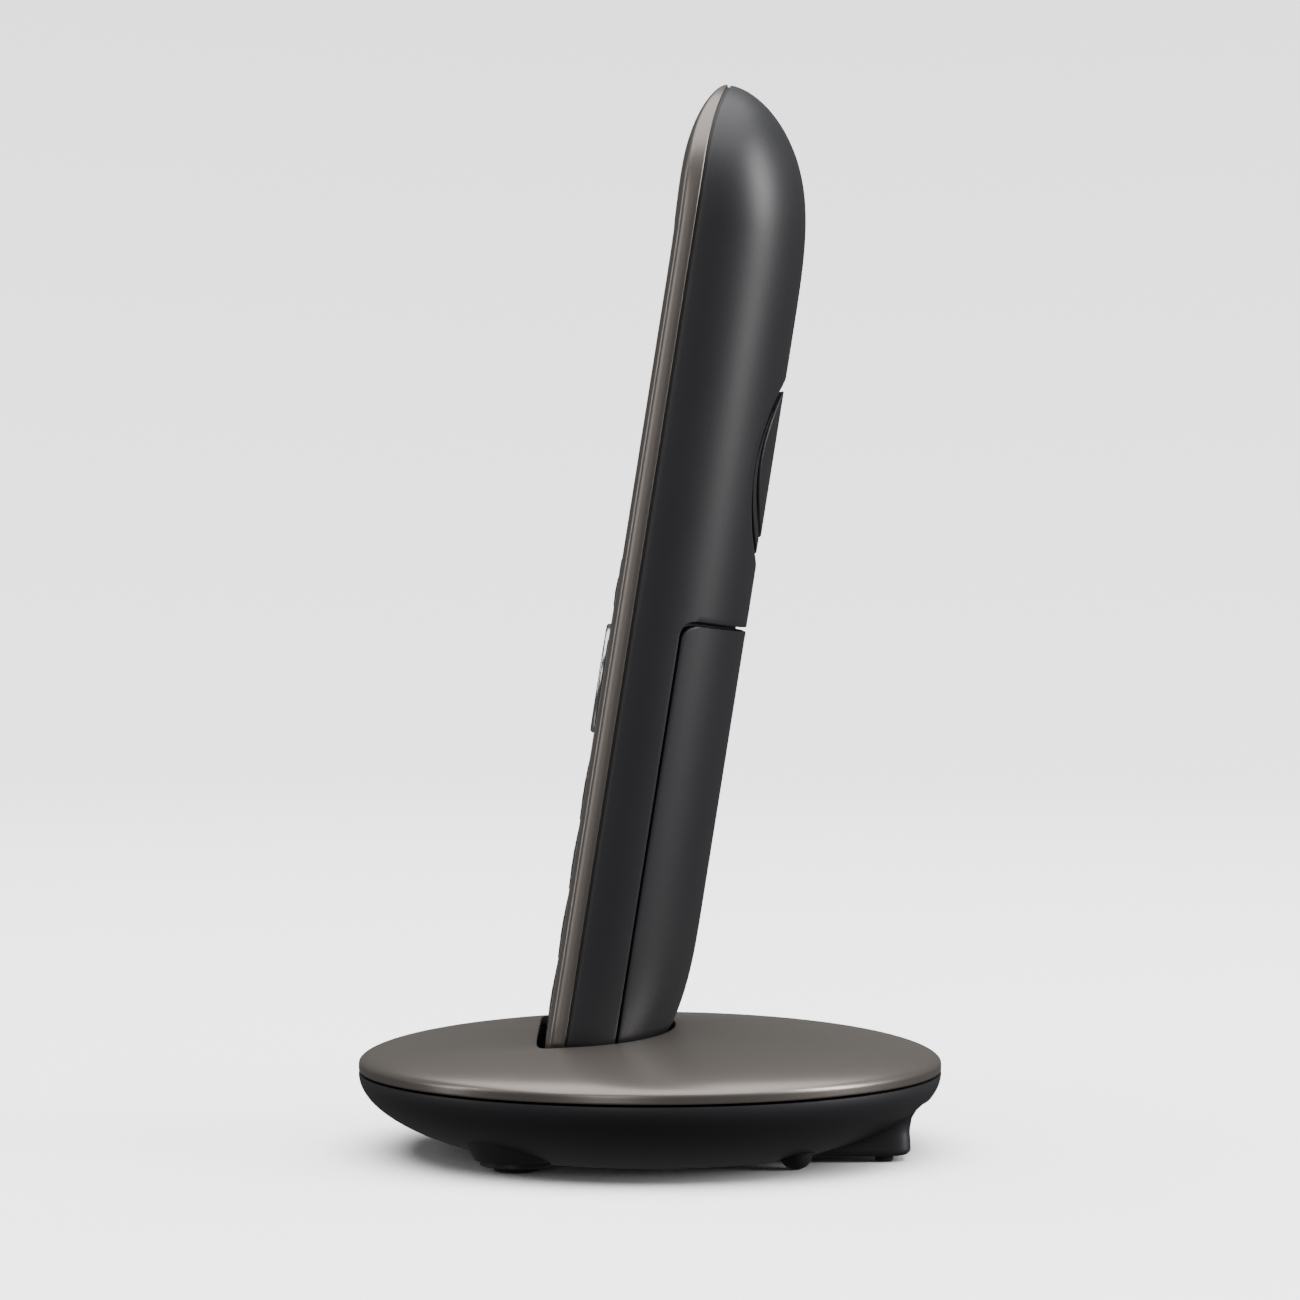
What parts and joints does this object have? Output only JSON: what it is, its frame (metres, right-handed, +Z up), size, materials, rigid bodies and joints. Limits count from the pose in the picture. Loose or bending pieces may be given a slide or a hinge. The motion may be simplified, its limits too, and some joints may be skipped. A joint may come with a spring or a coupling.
{
  "type": "cordless phone with charging base",
  "caption": "Slim cordless phone handset leaning back in a low round charging base with a domed top and a socket block at the rear.",
  "frame": {"origin": "on the floor under the middle of the round base", "axes": "+Z up, -Y the way the keypad faces, +X to the side on the right of a person behind the keypad"},
  "size_m": [0.095, 0.095, 0.1731],
  "materials": {
    "bronze": "satin",
    "charcoal": "matte",
    "charcoal_base": "matte",
    "black_abs": "matte",
    "gloss_black": "gloss",
    "lens": "gloss",
    "silver": "satin",
    "keys": "satin",
    "rubber": "matte",
    "steel": "satin",
    "gold": "satin",
    "circuit_board": "satin",
    "battery": "satin"
  },
  "bodies": {
    "base": {"base_top_cover": "bronze", "base_lower_shell": "charcoal_base", "cradle_pocket": "black_abs", "base_circuit_board": "circuit_board", "ballast_plate": "steel", "line_jack": "black_abs", "power_jack": "black_abs", "power_jack_pin": "steel", "front_foot_left": "rubber", "front_foot_right": "rubber", "dome_foot_left": "rubber", "dome_foot_right": "rubber", "block_foot_left": "rubber", "block_foot_right": "rubber", "base_screw_1": "steel", "base_screw_2": "steel", "base_screw_3": "steel"},
    "handset": {"rear_shell": "charcoal", "front_cover": "bronze", "keypad_bezel": "gloss_black", "display_lens": "lens", "display_module": "steel", "earpiece_receiver": "steel", "keypad_mat": "rubber", "handset_circuit_board": "circuit_board", "speaker_cover": "charcoal", "speaker_gasket": "black_abs", "loudspeaker": "steel", "battery_frame": "black_abs", "battery_cell_left": "battery", "battery_cell_right": "battery", "battery_contact_lower": "steel", "battery_contact_upper": "steel", "microphone": "steel", "charge_pad_left": "gold", "charge_pad_right": "gold", "handset_screw_left": "steel", "handset_screw_right": "steel"},
    "battery_door": {"battery_door": "charcoal"},
    "charge_contact_left": {"charge_contact_left": "gold"},
    "charge_contact_right": {"charge_contact_right": "gold"},
    "key_1": {"key_1": "keys"},
    "key_2": {"key_2": "keys"},
    "key_3": {"key_3": "keys"},
    "key_4": {"key_4": "keys"},
    "key_5": {"key_5": "keys"},
    "key_6": {"key_6": "keys"},
    "key_7": {"key_7": "keys"},
    "key_8": {"key_8": "keys"},
    "key_9": {"key_9": "keys"},
    "key_star": {"key_star": "keys"},
    "key_0": {"key_0": "keys"},
    "key_hash": {"key_hash": "keys"},
    "key_talk": {"key_talk": "keys"},
    "key_end": {"key_end": "keys"},
    "soft_key_left": {"soft_key_left": "keys"},
    "soft_key_right": {"soft_key_right": "keys"},
    "nav_ring": {"nav_ring": "silver"},
    "nav_centre_key": {"nav_centre_key": "keys"}
  },
  "joints": [
    {"name": "handset_lift", "type": "slide", "parent": "base", "child": "handset", "axis": [0, 0.1564, 0.9877], "range_m": [0, 0.06]},
    {"name": "battery_door_slide", "type": "slide", "parent": "handset", "child": "battery_door", "axis": [0, -0.1564, -0.9877], "range_m": [0, 0.0025]},
    {"name": "charge_contact_left_rise", "type": "slide", "parent": "base", "child": "charge_contact_left", "axis": [0, 0.1564, 0.9877], "range_m": [0, 0.0012]},
    {"name": "charge_contact_right_rise", "type": "slide", "parent": "base", "child": "charge_contact_right", "axis": [0, 0.1564, 0.9877], "range_m": [0, 0.0012]},
    {"name": "key_1_press", "type": "slide", "parent": "handset", "child": "key_1", "axis": [0, 0.9877, -0.1564], "range_m": [0, 0.0004], "stiffness_N_per_m": 1500},
    {"name": "key_2_press", "type": "slide", "parent": "handset", "child": "key_2", "axis": [0, 0.9877, -0.1564], "range_m": [0, 0.0004], "stiffness_N_per_m": 1500},
    {"name": "key_3_press", "type": "slide", "parent": "handset", "child": "key_3", "axis": [0, 0.9877, -0.1564], "range_m": [0, 0.0004], "stiffness_N_per_m": 1500},
    {"name": "key_4_press", "type": "slide", "parent": "handset", "child": "key_4", "axis": [0, 0.9877, -0.1564], "range_m": [0, 0.0004], "stiffness_N_per_m": 1500},
    {"name": "key_5_press", "type": "slide", "parent": "handset", "child": "key_5", "axis": [0, 0.9877, -0.1564], "range_m": [0, 0.0004], "stiffness_N_per_m": 1500},
    {"name": "key_6_press", "type": "slide", "parent": "handset", "child": "key_6", "axis": [0, 0.9877, -0.1564], "range_m": [0, 0.0004], "stiffness_N_per_m": 1500},
    {"name": "key_7_press", "type": "slide", "parent": "handset", "child": "key_7", "axis": [0, 0.9877, -0.1564], "range_m": [0, 0.0004], "stiffness_N_per_m": 1500},
    {"name": "key_8_press", "type": "slide", "parent": "handset", "child": "key_8", "axis": [0, 0.9877, -0.1564], "range_m": [0, 0.0004], "stiffness_N_per_m": 1500},
    {"name": "key_9_press", "type": "slide", "parent": "handset", "child": "key_9", "axis": [0, 0.9877, -0.1564], "range_m": [0, 0.0004], "stiffness_N_per_m": 1500},
    {"name": "key_star_press", "type": "slide", "parent": "handset", "child": "key_star", "axis": [0, 0.9877, -0.1564], "range_m": [0, 0.0004], "stiffness_N_per_m": 1500},
    {"name": "key_0_press", "type": "slide", "parent": "handset", "child": "key_0", "axis": [0, 0.9877, -0.1564], "range_m": [0, 0.0004], "stiffness_N_per_m": 1500},
    {"name": "key_hash_press", "type": "slide", "parent": "handset", "child": "key_hash", "axis": [0, 0.9877, -0.1564], "range_m": [0, 0.0004], "stiffness_N_per_m": 1500},
    {"name": "key_talk_press", "type": "slide", "parent": "handset", "child": "key_talk", "axis": [0, 0.9877, -0.1564], "range_m": [0, 0.0004], "stiffness_N_per_m": 1500},
    {"name": "key_end_press", "type": "slide", "parent": "handset", "child": "key_end", "axis": [0, 0.9877, -0.1564], "range_m": [0, 0.0004], "stiffness_N_per_m": 1500},
    {"name": "soft_key_left_press", "type": "slide", "parent": "handset", "child": "soft_key_left", "axis": [0, 0.9877, -0.1564], "range_m": [0, 0.0004], "stiffness_N_per_m": 1500},
    {"name": "soft_key_right_press", "type": "slide", "parent": "handset", "child": "soft_key_right", "axis": [0, 0.9877, -0.1564], "range_m": [0, 0.0004], "stiffness_N_per_m": 1500},
    {"name": "nav_ring_press", "type": "slide", "parent": "handset", "child": "nav_ring", "axis": [0, 0.9877, -0.1564], "range_m": [0, 0.0004], "stiffness_N_per_m": 1500},
    {"name": "nav_centre_key_press", "type": "slide", "parent": "handset", "child": "nav_centre_key", "axis": [0, 0.9877, -0.1564], "range_m": [0, 0.0004], "stiffness_N_per_m": 1500}
  ],
  "couplings": [
    {"joint": "charge_contact_left_rise", "follows": "handset_lift", "ratio": 0.02},
    {"joint": "charge_contact_right_rise", "follows": "handset_lift", "ratio": 0.02}
  ]
}
